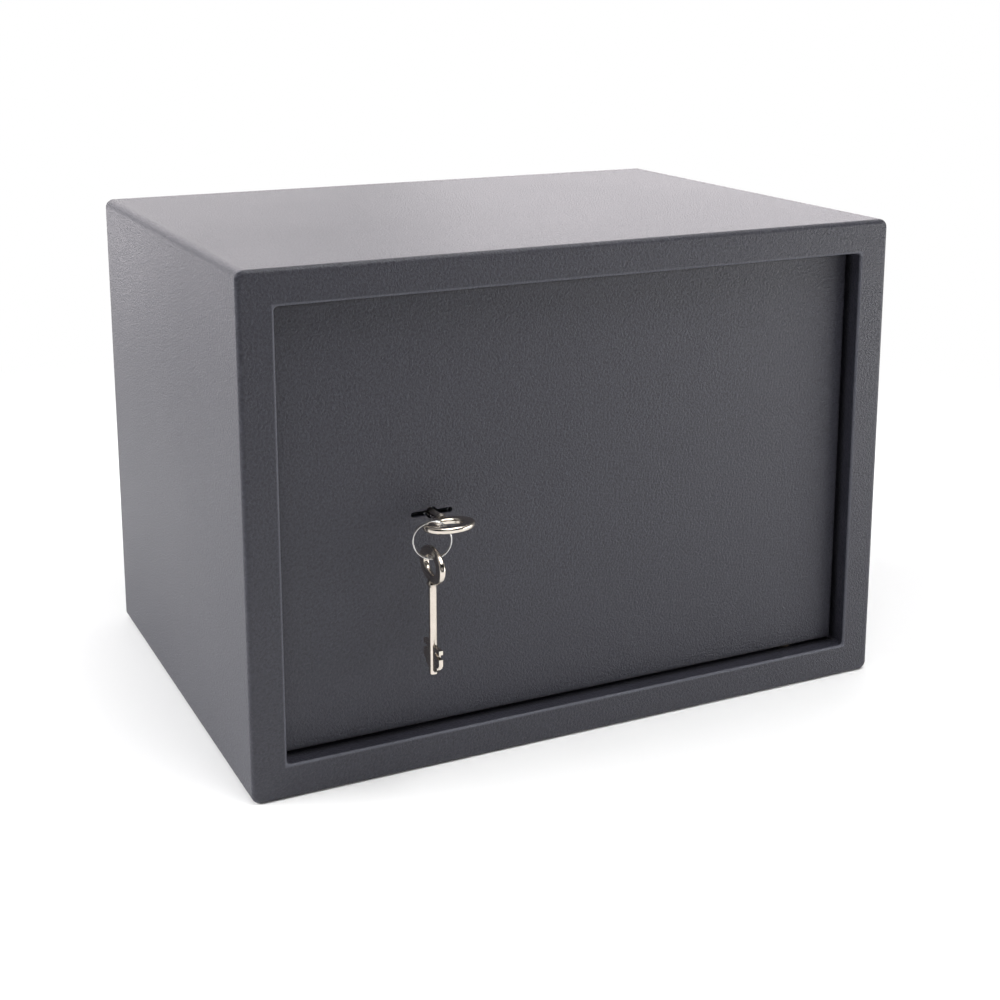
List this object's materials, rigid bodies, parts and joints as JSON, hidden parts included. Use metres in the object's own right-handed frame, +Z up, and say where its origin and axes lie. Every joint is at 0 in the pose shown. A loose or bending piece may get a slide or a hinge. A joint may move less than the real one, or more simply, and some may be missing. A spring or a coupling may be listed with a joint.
{
  "type": "key lock safe",
  "caption": "Steel box safe with a recessed hinged door, a key lever lock that throws round bolts behind the lip, anchor holes, and a spare key on a ring.",
  "frame": {"origin": "centre of the cabinet's footprint, on the surface it stands on", "axes": "+X to the right along the front, +Y from the front to the back, +Z up"},
  "size_m": [0.35, 0.273, 0.25],
  "materials": {
    "grey_coat": "satin powder coat with a fine orange peel, graphite grey",
    "zinc_plate": "bright zinc plate",
    "bright_steel": "turned and polished steel",
    "spring_steel": "rolled spring steel",
    "lock_brass": "stamped brass, satin",
    "bush_bronze": "sintered bronze, dull",
    "key_nickel": "nickel plate, tumbled",
    "mat_felt": "needle felt, charcoal"
  },
  "bodies": {
    "cabinet": {"cabinet_body": "grey_coat", "back_panel": "grey_coat", "floor_mat": "mat_felt", "door_stops": "grey_coat", "lower_hinge_bush": "bush_bronze", "upper_hinge_bush": "bush_bronze"},
    "door": {"door_plate": "grey_coat", "lower_hinge_bracket": "grey_coat", "upper_hinge_bracket": "grey_coat", "lower_hinge_pin": "bright_steel", "upper_hinge_pin": "bright_steel", "lower_bolt_guide": "grey_coat", "upper_bolt_guide": "grey_coat", "lock_case": "zinc_plate", "lock_cover": "zinc_plate", "lock_screws": "zinc_plate", "lock_studs": "zinc_plate", "lock_nuts": "zinc_plate", "lever_pivot": "bright_steel", "pivot_spacers": "lock_brass"},
    "key_barrel": {"key_barrel": "zinc_plate"},
    "bolt_work": {"lock_bolt": "bright_steel", "bolt_carrier": "zinc_plate", "lower_bolt": "bright_steel", "upper_bolt": "bright_steel", "carrier_screws": "zinc_plate"},
    "levers": {"lever_1": "lock_brass", "lever_2": "lock_brass", "lever_3": "lock_brass", "lever_4": "lock_brass", "lever_5": "lock_brass", "lever_springs": "spring_steel"},
    "key": {"key": "key_nickel"},
    "split_ring": {"split_ring": "bright_steel"},
    "spare_key": {"spare_key": "key_nickel"}
  },
  "joints": [
    {"name": "door_hinge", "type": "hinge", "parent": "cabinet", "child": "door", "pos_m": [0.12836, -0.1065, 0.125], "axis": [0, 0, 1], "range_deg": [0, 120]},
    {"name": "key_turn", "type": "hinge", "parent": "door", "child": "key_barrel", "pos_m": [-0.0802, -0.1, 0.125], "axis": [0, -1, 0], "range_deg": [0, 180]},
    {"name": "bolt_throw", "type": "slide", "parent": "door", "child": "bolt_work", "axis": [-1, 0, 0], "range_m": [0, 0.015]},
    {"name": "lever_lift", "type": "hinge", "parent": "door", "child": "levers", "pos_m": [-0.0562, -0.09, 0.137], "axis": [0, 1, 0], "range_deg": [-4, 0]},
    {"name": "key_withdraw", "type": "slide", "parent": "key_barrel", "child": "key", "axis": [0, -1, 0], "range_m": [0, 0.045]},
    {"name": "ring_swing", "type": "hinge", "parent": "key", "child": "split_ring", "pos_m": [-0.0888, -0.1353, 0.125], "axis": [0, -1, 0], "range_deg": [-180, 0]},
    {"name": "spare_swing", "type": "hinge", "parent": "split_ring", "child": "spare_key", "pos_m": [-0.0888, -0.1353, 0.1101], "axis": [1, 0, 0], "range_deg": [-60, 12]}
  ],
  "couplings": [
    {"joint": "key_turn", "follows": "bolt_throw", "rad_per_m": 209.44},
    {"joint": "ring_swing", "follows": "bolt_throw", "rad_per_m": -209.44}
  ]
}
